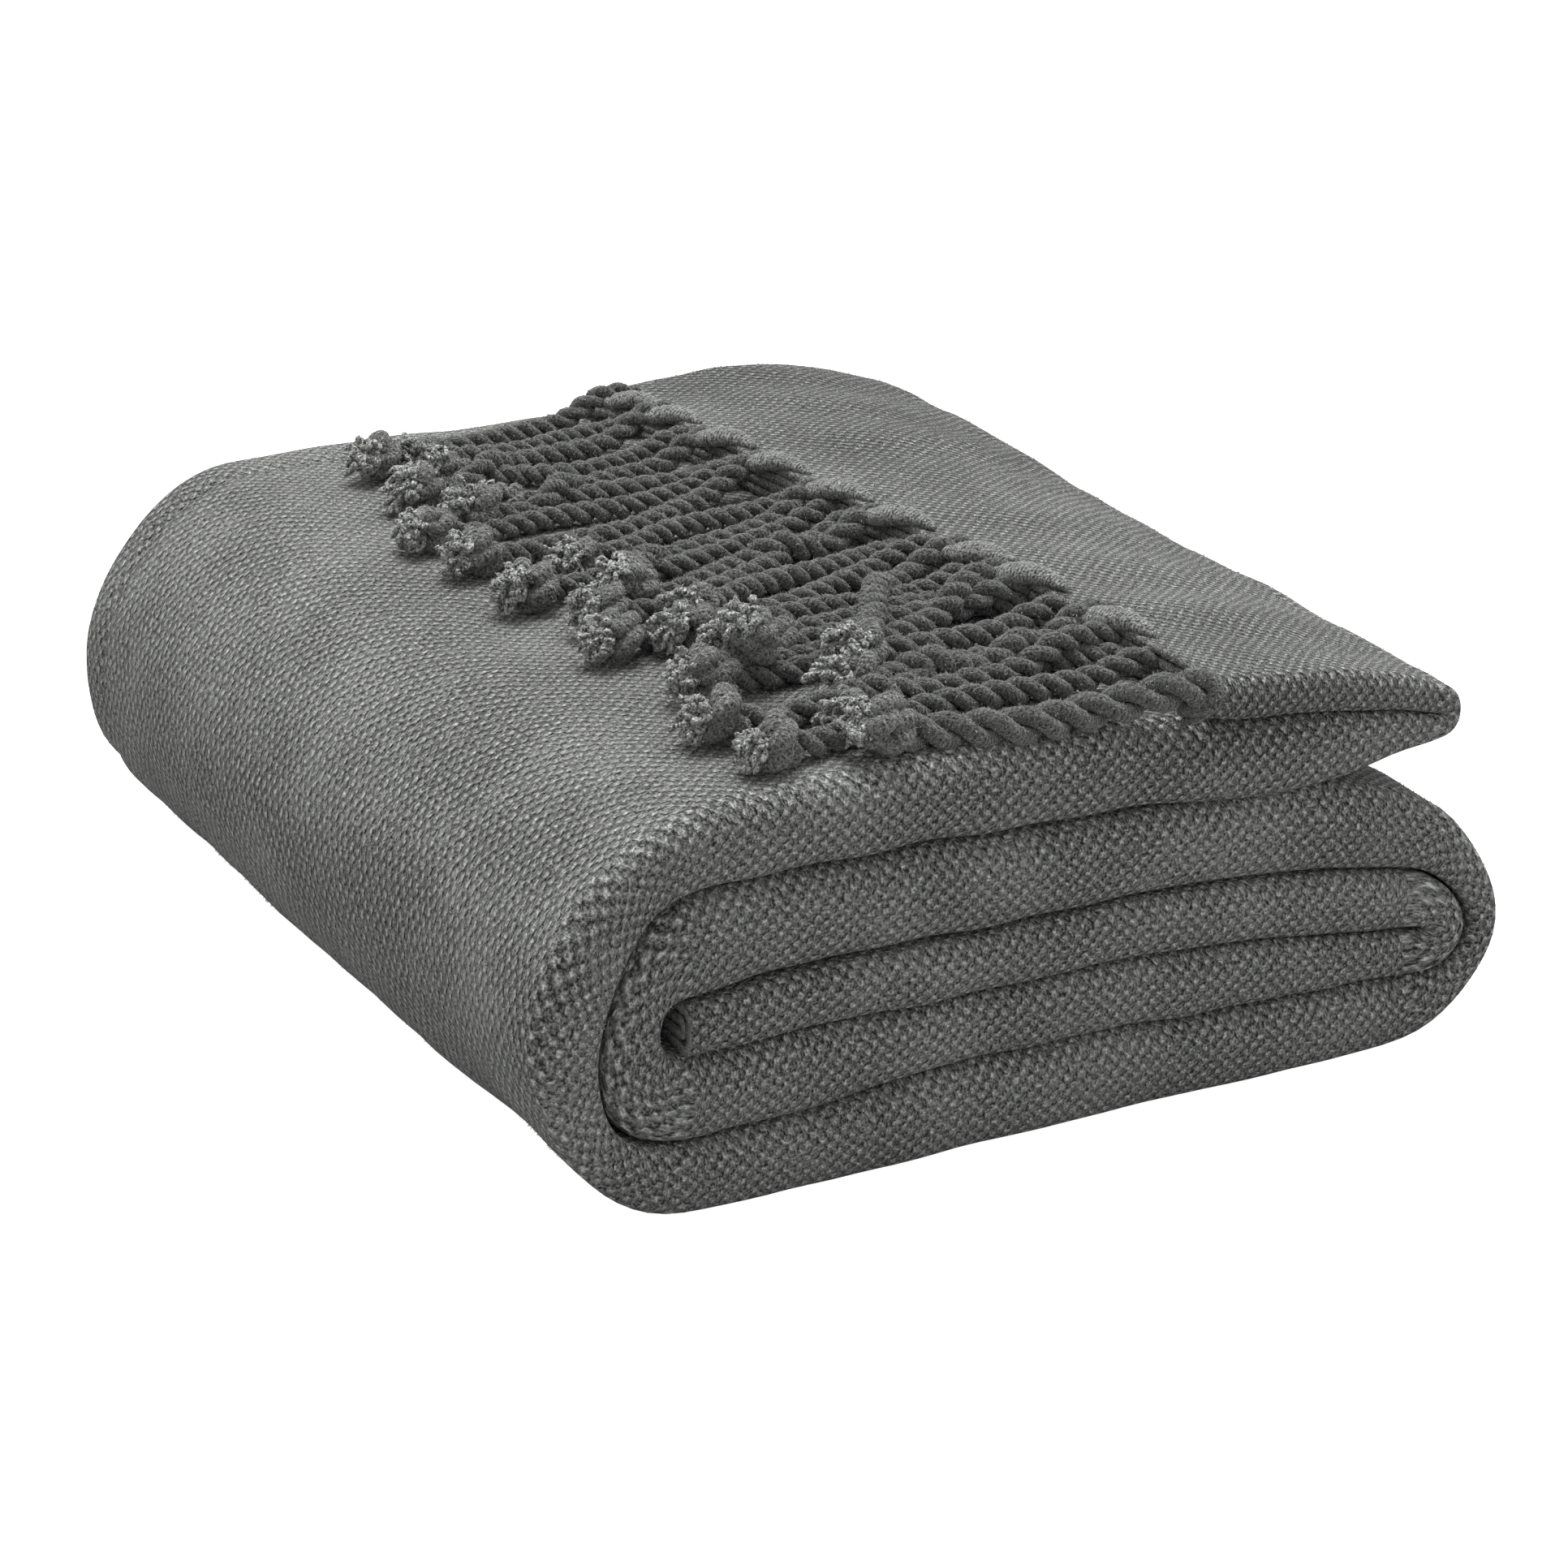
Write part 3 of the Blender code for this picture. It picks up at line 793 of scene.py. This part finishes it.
def fibre_shape():
    """One cone, a unit long and wide: its corners and its triangles."""
    mesh = bmesh.new()
    bmesh.ops.create_cone(mesh, cap_ends=True, segments=3, radius1=1.0, radius2=0.0, depth=1.0)
    bmesh.ops.translate(mesh, verts=mesh.verts[:], vec=(0.0, 0.0, 0.5))
    bmesh.ops.remove_doubles(mesh, verts=mesh.verts[:], dist=0.001)
    mesh.verts.index_update()
    corners = np.array([v.co for v in mesh.verts])
    sides = np.array([[v.index for v in f.verts] for f in mesh.faces])
    mesh.free()
    return corners, sides


def outer_faces(piece, clear):
    """The faces with open space in front of them: normal, area, centre and three corners."""
    whole = piece.evaluated_get(bpy.context.evaluated_depsgraph_get())
    mesh = bmesh.new()
    mesh.from_mesh(whole.to_mesh())
    tree = BVHTree.FromBMesh(mesh)
    found = []
    for face in mesh.faces:
        centre, normal = face.calc_center_median(), face.normal.copy()
        if normal.z < FACES_DOWN or centre.z < 0.002:
            continue
        if tree.ray_cast(centre + normal * SKIN, normal, clear)[0] is None:
            first, second, third = (face.verts[k].co for k in range(3))
            found.append((*centre, *normal, face.calc_area(), *first, *second, *third))
    mesh.free()
    whole.to_mesh_clear()
    return np.array(found)


def plant_pile(name, pieces, count, length, width, clear):
    """Fibres over the pieces, joined in one mesh."""
    found = np.concatenate([outer_faces(piece, clear) for piece in pieces])
    chosen = found[rng.choice(len(found), size=count, p=found[:, 6] / found[:, 6].sum())]
    centres, normals = chosen[:, :3], chosen[:, 3:6]
    across, along = chosen[:, 10:13] - chosen[:, 7:10], chosen[:, 13:16] - chosen[:, 10:13]
    slide_across, slide_along = (rng.uniform(-0.5, 0.5, (count, 1)) for _ in range(2))
    roots = centres + across * slide_across + along * slide_along
    roots -= normals * SKIN
    ahead = normals + rng.normal(0.0, 0.50, (count, 3))
    ahead /= np.linalg.norm(ahead, axis=1, keepdims=True)
    side = np.cross(ahead, rng.normal(0.0, 1.0, (count, 3)))
    side /= np.linalg.norm(side, axis=1, keepdims=True)
    up = np.cross(ahead, side)
    lengths = length * rng.uniform(0.55, 1.25, count)
    corners, sides = fibre_shape()
    co = (roots[:, None, :] + corners[None, :, 0:1] * width * side[:, None, :]
          + corners[None, :, 1:2] * width * up[:, None, :]
          + corners[None, :, 2:3] * lengths[:, None, None] * ahead[:, None, :])
    co[..., 2] = np.maximum(co[..., 2], 0.0002)
    faces = sides[None, :, :] + (np.arange(count) * len(corners))[:, None, None]
    data = bpy.data.meshes.new(name)
    data.from_pydata(co.reshape(-1, 3).tolist(), [], faces.reshape(-1, 3).tolist())
    piece = bpy.data.objects.new(name, data)
    bpy.context.scene.collection.objects.link(piece)
    print(name, "fibres", count, "faces", len(data.polygons))
    return piece


FIBRES = 46000
YARN_FIBRE = (0.0011, 0.00014, 0.0012)    # length, width, clear space in front of the face
CLOTH_FIBRE = (0.0009, 0.00019, 0.30)
tassel_pile = plant_pile("tassel_pile", (upper_tassels, knots), FIBRES, *YARN_FIBRE)
lower_pile = plant_pile("lower_tassel_pile", (lower_tassels, brushes), FIBRES // 2, *YARN_FIBRE)
cloth_pile = plant_pile("cloth_pile", (spread,), FIBRES, *CLOTH_FIBRE)

# %% [markdown]
# ## Chenille weave
# Chenille yarn is a fuzzy cord, and the weave shows it as short raised nubs in offset rows. The
# nub group works on the flat UV sizes: two crossed waves give staggered oval domes with narrow
# gaps between them, and noise bends the rows a little. Its second output paints light and shade
# into the cloth's colour: lighter on the crowns of the nubs, darker in the gaps. A second group,
# which the yarn shares, adds the pile itself: fibre tips in small clumps.

# %% Shader tools
def node_group(name, inputs, outputs):
    group = bpy.data.node_groups.new(name, "ShaderNodeTree")
    for label, kind, value in inputs:
        socket = group.interface.new_socket(label, in_out="INPUT", socket_type=kind)
        if value is not None:
            socket.default_value = value
    for label, kind in outputs:
        group.interface.new_socket(label, in_out="OUTPUT", socket_type=kind)
    return group, group.nodes.new("NodeGroupInput"), group.nodes.new("NodeGroupOutput")


def maths(tree, operation, a, b=None, c=None, clamp=False):
    node = tree.nodes.new("ShaderNodeMath")
    node.operation = operation
    node.use_clamp = clamp
    for socket, value in zip(node.inputs, (a, b, c)):
        if value is None:
            continue
        if isinstance(value, (int, float)):
            socket.default_value = value
        else:
            tree.links.new(value, socket)
    return node.outputs[0]


def noise_node(tree, vector, scale, detail=2.0, roughness=0.5):
    node = tree.nodes.new("ShaderNodeTexNoise")
    node.inputs["Scale"].default_value = scale
    node.inputs["Detail"].default_value = detail
    node.inputs["Roughness"].default_value = roughness
    tree.links.new(vector, node.inputs["Vector"])
    return node.outputs["Fac"]


def ramp(tree, value, low, high, to_low=0.0, to_high=1.0):
    node = tree.nodes.new("ShaderNodeMapRange")
    node.interpolation_type = "SMOOTHSTEP"
    limits = {"From Min": low, "From Max": high, "To Min": to_low, "To Max": to_high}
    for label, number in limits.items():
        node.inputs[label].default_value = number
    tree.links.new(value, node.inputs["Value"])
    return node.outputs[0]


# %% Fine pile group
def build_fine_pile():
    """Cut pile at close range: fibre tips about half a millimetre apart, in small clumps."""
    group, given, result = node_group(
        "fine_pile",
        (("Place", "NodeSocketVector", None), ("Tips", "NodeSocketFloat", 1700.0),
         ("Clumps", "NodeSocketFloat", 620.0)),
        (("Height", "NodeSocketFloat"), ("Tone", "NodeSocketFloat")))
    layers = []
    for label, low, high in (("Tips", 0.38, 0.62), ("Clumps", 0.32, 0.68)):
        grain = group.nodes.new("ShaderNodeTexNoise")
        grain.inputs["Detail"].default_value = 2.0
        grain.inputs["Roughness"].default_value = 0.6
        group.links.new(given.outputs["Place"], grain.inputs["Vector"])
        group.links.new(given.outputs[label], grain.inputs["Scale"])
        layers.append(ramp(group, grain.outputs["Fac"], low, high))
    tips, clumps = layers
    for label, tip_share in (("Height", 0.42), ("Tone", 0.70)):
        clumped = maths(group, "MULTIPLY", clumps, 1.0 - tip_share)
        mixed = maths(group, "MULTIPLY_ADD", tips, tip_share, clumped)
        group.links.new(mixed, result.inputs[label])
    return group


fine_pile = build_fine_pile()
print("fine pile nodes", len(fine_pile.nodes))


# %% Nub weave group
def build_nub_weave():
    group, given, result = node_group(
        "nub_weave",
        (("Flat", "NodeSocketVector", None), ("Along", "NodeSocketFloat", 0.0042),
         ("Across", "NodeSocketFloat", 0.0034), ("Wander", "NodeSocketFloat", 0.5)),
        (("Height", "NodeSocketFloat"), ("Nub_light_shade", "NodeSocketFloat")))
    flat = given.outputs["Flat"]
    split = group.nodes.new("ShaderNodeSeparateXYZ")
    group.links.new(flat, split.inputs[0])
    drift_a = maths(group, "SUBTRACT", noise_node(group, flat, 170.0, 3.0), 0.5)
    drift_b = maths(group, "SUBTRACT", noise_node(group, flat, 230.0, 3.0), 0.5)
    wander = given.outputs["Wander"]
    a = maths(group, "DIVIDE", split.outputs["X"], given.outputs["Along"])
    b = maths(group, "DIVIDE", split.outputs["Y"], given.outputs["Across"])
    a = maths(group, "ADD", a, maths(group, "MULTIPLY", drift_a, wander))
    b = maths(group, "ADD", b, maths(group, "MULTIPLY", drift_b, wander))
    wave_a = maths(group, "COSINE", maths(group, "MULTIPLY", a, math.tau))
    wave_b = maths(group, "COSINE", maths(group, "MULTIPLY", b, math.tau))
    lattice = maths(group, "MULTIPLY", wave_a, wave_b)
    dome = ramp(group, lattice, -0.90, 0.85)
    # The dome shapes the bump. The crown is painted light on the tops of the nubs and painted
    # shade in the gaps between them.
    crown_light_gap_shade = ramp(group, lattice, -0.25, 0.90)
    group.links.new(dome, result.inputs["Height"])
    group.links.new(crown_light_gap_shade, result.inputs["Nub_light_shade"])
    return group


nub_weave = build_nub_weave()
print("nub weave nodes", len(nub_weave.nodes))

# %% [markdown]
# ## Brushed patches
# Pile that has been stroked one way looks lighter, the other way darker. Soft noise in the
# object's own coordinates gives these patches, a few centimetres across.

# %% Brushed patches group
def build_brushed_patches():
    group, given, result = node_group(
        "brushed_patches",
        (("Place", "NodeSocketVector", None), ("Size", "NodeSocketFloat", 24.0)),
        (("Patch", "NodeSocketFloat"),))
    wide = group.nodes.new("ShaderNodeTexNoise")
    wide.inputs["Detail"].default_value = 3.0
    wide.inputs["Roughness"].default_value = 0.62
    group.links.new(given.outputs["Place"], wide.inputs["Vector"])
    group.links.new(given.outputs["Size"], wide.inputs["Scale"])
    patch = ramp(group, wide.outputs["Fac"], 0.33, 0.67)
    group.links.new(patch, result.inputs["Patch"])
    return group


brushed_patches = build_brushed_patches()
print("patch nodes", len(brushed_patches.nodes))


# %% Materials
SHEEN_TINT = (0.9, 0.92, 0.9, 1.0)
YARN_RING = 0.00105    # spacing of the rings of pile along a yarn
YARN_DEEP = (0.006, 0.0064, 0.0059)
CUT_EDGE = 1    # the second material of the cloth, on the rim of the ply


def new_material(name):
    material = bpy.data.materials.new(name)
    material.use_nodes = True
    tree = material.node_tree
    return material, tree, tree.nodes["Principled BSDF"]


def use_group(tree, group, link_to, source, values):
    """Places a shared effect in a material: one linked input, the others set to values."""
    node = tree.nodes.new("ShaderNodeGroup")
    node.node_tree = group
    tree.links.new(source, node.inputs[link_to])
    for label, value in values.items():
        node.inputs[label].default_value = value
    return node


def finish_fabric(tree, shader, height, depth, roughness, sheen, sheen_roughness):
    """The bump and the soft sheen that cloth and yarn share."""
    bump = tree.nodes.new("ShaderNodeBump")
    bump.inputs["Distance"].default_value = depth
    bump.inputs["Strength"].default_value = 1.0
    tree.links.new(height, bump.inputs["Height"])
    tree.links.new(bump.outputs["Normal"], shader.inputs["Normal"])
    shader.inputs["Roughness"].default_value = roughness
    shader.inputs["Specular IOR Level"].default_value = 0.2
    shader.inputs["Sheen Weight"].default_value = sheen
    shader.inputs["Sheen Roughness"].default_value = sheen_roughness
    shader.inputs["Sheen Tint"].default_value = SHEEN_TINT


def mix_colour(tree, factor, low, high):
    node = tree.nodes.new("ShaderNodeMix")
    node.data_type = "RGBA"
    for socket, colour in ((node.inputs["A"], low), (node.inputs["B"], high)):
        if isinstance(colour, tuple):
            socket.default_value = (*colour, 1.0)
        else:
            tree.links.new(colour, socket)
    tree.links.new(factor, node.inputs["Factor"])
    return node.outputs["Result"]


def cloth_material():
    material, tree, shader = new_material("chenille_weave")
    uv = tree.nodes.new("ShaderNodeUVMap")
    uv.uv_map = "flat_metres"
    own = tree.nodes.new("ShaderNodeTexCoord")
    flat, own_place = uv.outputs["UV"], own.outputs["Object"]
    weave = use_group(tree, nub_weave, "Flat", flat,
                      {"Along": 0.0043, "Across": 0.0036, "Wander": 0.30})
    patches = use_group(tree, brushed_patches, "Place", own_place, {"Size": 26.0})
    pile = use_group(tree, fine_pile, "Place", flat, {"Tips": 1250.0, "Clumps": 560.0})
    deep, pale = (0.009, 0.0096, 0.0088), (0.392, 0.400, 0.384)
    # Painted highlight on the crowns of the nubs and painted shade in the gaps between them.
    painted_crown_highlight = maths(tree, "MULTIPLY", weave.outputs["Nub_light_shade"], pile.outputs["Tone"])
    amount = maths(tree, "MULTIPLY_ADD", weave.outputs["Nub_light_shade"], 0.20, -0.10)
    amount = maths(tree, "ADD", amount, maths(tree, "MULTIPLY", painted_crown_highlight, 0.62))
    amount = maths(tree, "ADD", amount, maths(tree, "MULTIPLY", pile.outputs["Tone"], 0.60))
    patchy = maths(tree, "MULTIPLY_ADD", patches.outputs["Patch"], 0.16, -0.08)
    amount = maths(tree, "ADD", amount, patchy)
    # Painted shade: the flap past the hem is darkened in its colour, most of all towards the back.
    place = tree.nodes.new("ShaderNodeSeparateXYZ")
    tree.links.new(own_place, place.inputs[0])
    past_hem = ramp(tree, place.outputs["X"], 0.015, 0.055)
    on_top = ramp(tree, place.outputs["Z"], 0.092, 0.102)
    flap = maths(tree, "MULTIPLY", past_hem, on_top)
    back = ramp(tree, place.outputs["Y"], -0.05, 0.15)
    painted_flap_shade = maths(tree, "MULTIPLY", flap, maths(tree, "MULTIPLY_ADD", back, -0.22, -0.11))
    amount = maths(tree, "ADD", amount, painted_flap_shade)
    colour = mix_colour(tree, maths(tree, "MAXIMUM", amount, 0.0, clamp=True), deep, pale)
    tree.links.new(colour, shader.inputs["Base Color"])
    height = maths(tree, "MULTIPLY_ADD", pile.outputs["Height"], 0.85, weave.outputs["Height"])
    finish_fabric(tree, shader, height, 0.0020, roughness=0.9, sheen=0.20, sheen_roughness=0.45)
    return material


def yarn_material(name, pale):
    material, tree, shader = new_material(name)
    uv = tree.nodes.new("ShaderNodeUVMap")
    uv.uv_map = "flat_metres"
    own = tree.nodes.new("ShaderNodeTexCoord")
    split = tree.nodes.new("ShaderNodeSeparateXYZ")
    tree.links.new(uv.outputs["UV"], split.inputs[0])
    drift = maths(tree, "SUBTRACT", noise_node(tree, own.outputs["Object"], 420.0, 2.0), 0.5)
    rings = maths(tree, "MULTIPLY", split.outputs["X"], math.tau / YARN_RING)
    rings = maths(tree, "ADD", rings, maths(tree, "MULTIPLY", drift, 7.0))
    ridge = maths(tree, "MULTIPLY_ADD", maths(tree, "SINE", rings), 0.5, 0.5)
    pile = use_group(tree, fine_pile, "Place", own.outputs["Object"],
                     {"Tips": 1500.0, "Clumps": 520.0})
    amount = maths(tree, "MULTIPLY_ADD", ridge, 0.22, -0.12)
    amount = maths(tree, "ADD", amount, maths(tree, "MULTIPLY", pile.outputs["Tone"], 0.80))
    amount = maths(tree, "MAXIMUM", amount, 0.0, clamp=True)
    colour = mix_colour(tree, amount, YARN_DEEP, pale)
    tree.links.new(colour, shader.inputs["Base Color"])
    height = maths(tree, "MULTIPLY_ADD", ridge, 0.35, pile.outputs["Height"])
    finish_fabric(tree, shader, height, 0.0010, roughness=0.92, sheen=0.30, sheen_roughness=0.5)
    return material


def pile_material(name, low, high):
    """Loose fibres: plain and pale, each part of the piece a little different."""
    material, tree, shader = new_material(name)
    own = tree.nodes.new("ShaderNodeTexCoord")
    mixed = ramp(tree, noise_node(tree, own.outputs["Object"], 900.0, 1.0), 0.35, 0.65)
    tree.links.new(mix_colour(tree, mixed, low, high), shader.inputs["Base Color"])
    shader.inputs["Roughness"].default_value = 0.95
    shader.inputs["Specular IOR Level"].default_value = 0.15
    return material


spread.data.materials.append(cloth_material())
# One chenille yarn in lit and shaded copies: painted shade darkens the ropes, and painted light
# brightens the roots, the cut rim of the cloth, the knots and most of all the cut brushes.
yarn = yarn_material("shaded_chenille_yarn", (0.114, 0.117, 0.111))
lit_root_yarn = yarn_material("lit_root_yarn", (0.300, 0.306, 0.293))
for piece in (upper_tassels, lower_tassels):
    piece.data.materials.append(yarn)
knots.data.materials.append(yarn_material("lit_knotted_yarn", (0.210, 0.214, 0.205)))
brushes.data.materials.append(yarn_material("highlit_cut_pile", (0.620, 0.632, 0.606)))
spread.data.materials.append(lit_root_yarn)
solid.material_offset_rim = CUT_EDGE
leaves.data.materials.append(lit_root_yarn)
# Painted highlight: the loose fibres on the tassels are paler than their yarn, a light halo on the
# tops of the ropes.
highlit_yarn_pile = pile_material("highlit_yarn_pile", (0.045, 0.046, 0.044), (0.290, 0.295, 0.283))
for piece in (tassel_pile, lower_pile):
    piece.data.materials.append(highlit_yarn_pile)
spread_pile = pile_material("spread_pile", (0.050, 0.051, 0.049), (0.300, 0.306, 0.293))
cloth_pile.data.materials.append(spread_pile)
print("materials", sorted(m.name for m in bpy.data.materials))

# %% [markdown]
# ## Floor
# A plain white sweep, big enough to fill every view. It throws back only a moderate light, but
# looks pure white itself, so the shadow under the stack stays faint.

# %% Floor
FLOOR_BOUNCE = (0.36, 0.36, 0.36, 1.0)
FLOOR_GLOW = 0.95
floor_mesh = bmesh.new()
bmesh.ops.create_grid(floor_mesh, x_segments=1, y_segments=1, size=12.0)
floor_data = bpy.data.meshes.new("studio_floor")
floor_mesh.to_mesh(floor_data)
floor_mesh.free()
studio_floor = bpy.data.objects.new("studio_floor", floor_data)
bpy.context.scene.collection.objects.link(studio_floor)
floor_material = bpy.data.materials.new("floor_white")
floor_material.use_nodes = True
floor_shader = floor_material.node_tree.nodes["Principled BSDF"]
floor_shader.inputs["Base Color"].default_value = FLOOR_BOUNCE
floor_shader.inputs["Roughness"].default_value = 0.9
floor_shader.inputs["Emission Color"].default_value = (1.0, 1.0, 1.0, 1.0)
seen = floor_material.node_tree.nodes.new("ShaderNodeLightPath")
brighten = maths(floor_material.node_tree, "MULTIPLY", seen.outputs["Is Camera Ray"], FLOOR_GLOW)
floor_material.node_tree.links.new(brighten, floor_shader.inputs["Emission Strength"])
floor_data.materials.append(floor_material)

# %% [markdown]
# ## Join the pieces to the frame
# The cloth stands for its plain solid and the tassels for the plain comb. Everything rides on
# the one body.

# %% Frame ties
fringe_pieces = [upper_tassels, lower_tassels, leaves, knots, brushes, tassel_pile, lower_pile]
for piece in [spread, cloth_pile] + fringe_pieces:
    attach(piece, "root")
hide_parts("spread_cloth")
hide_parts("fringe")
